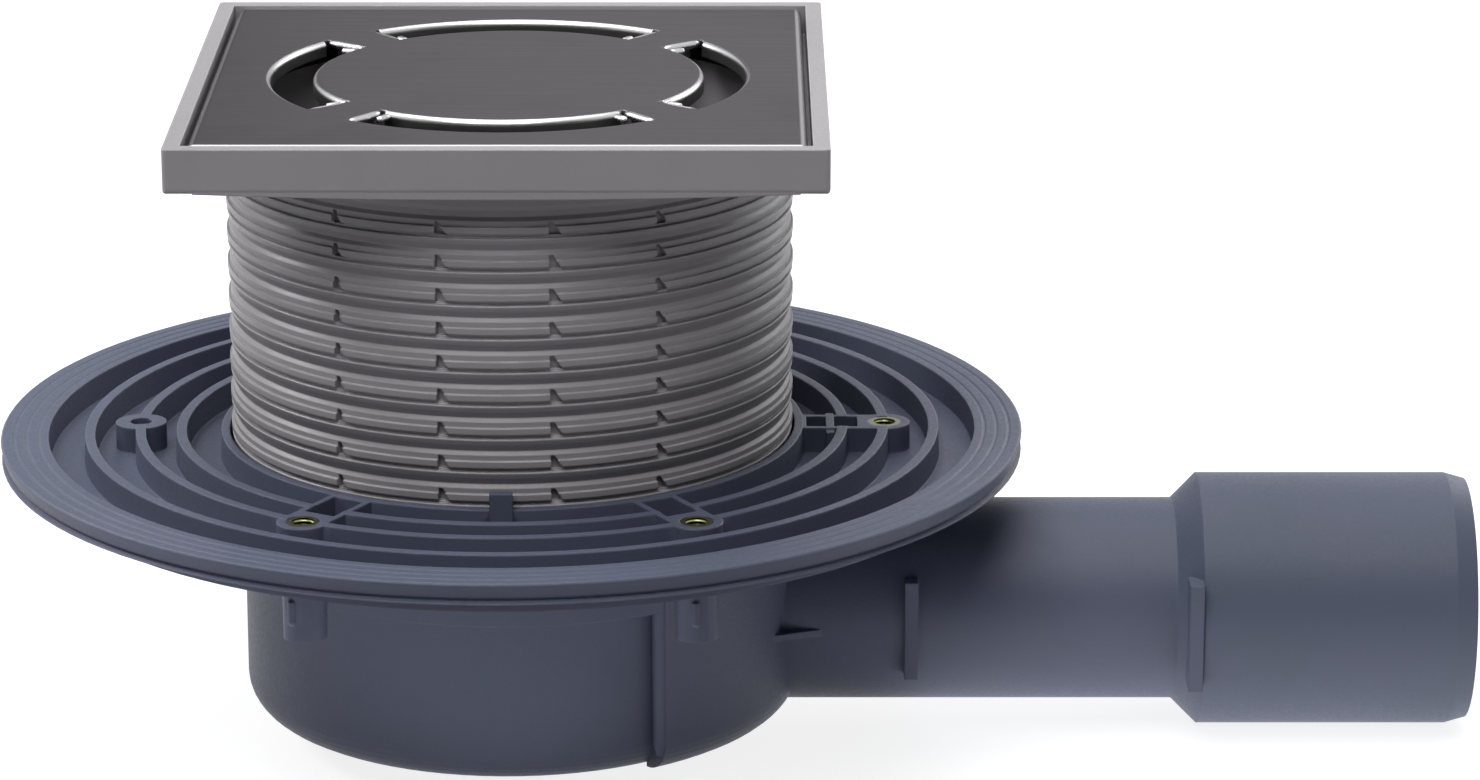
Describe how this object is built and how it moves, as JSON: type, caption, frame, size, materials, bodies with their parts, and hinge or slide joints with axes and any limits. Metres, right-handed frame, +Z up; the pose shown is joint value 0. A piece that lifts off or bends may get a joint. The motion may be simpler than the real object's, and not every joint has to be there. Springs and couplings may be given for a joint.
{
  "type": "floor gully with side outlet and removable trap",
  "caption": "Low floor gully: round pot with a ribbed sealing flange, side outlet spigot, ribbed height riser, square tile frame and slotted steel grate over a removable water trap.",
  "frame": {"origin": "centre of the pot's flat base", "axes": "+Z up along the gully's axis, +X along the outlet towards the spigot's end, +Y to the back"},
  "size_m": [0.2897, 0.201, 0.1326],
  "materials": {
    "body_plastic": "slate blue moulded, satin",
    "riser_plastic": "light grey moulded, satin",
    "grate_steel": "fine brushed, polished slot lips",
    "insert_brass": "turned",
    "seal_rubber": "matt",
    "trap_plastic": "pale grey moulded"
  },
  "bodies": {
    "gully": {"drain_body": "body_plastic", "thread_inserts": "insert_brass", "riser_seal": "seal_rubber", "trap_seal": "seal_rubber", "trap_funnel": "trap_plastic", "trap_cup": "trap_plastic", "hair_strainer": "grate_steel"},
    "riser": {"riser_frame": "riser_plastic", "grate_plate": "grate_steel"}
  },
  "joints": [
    {"name": "riser_height", "type": "slide", "parent": "gully", "child": "riser", "axis": [0, 0, 1], "range_m": [0, 0.008]}
  ]
}
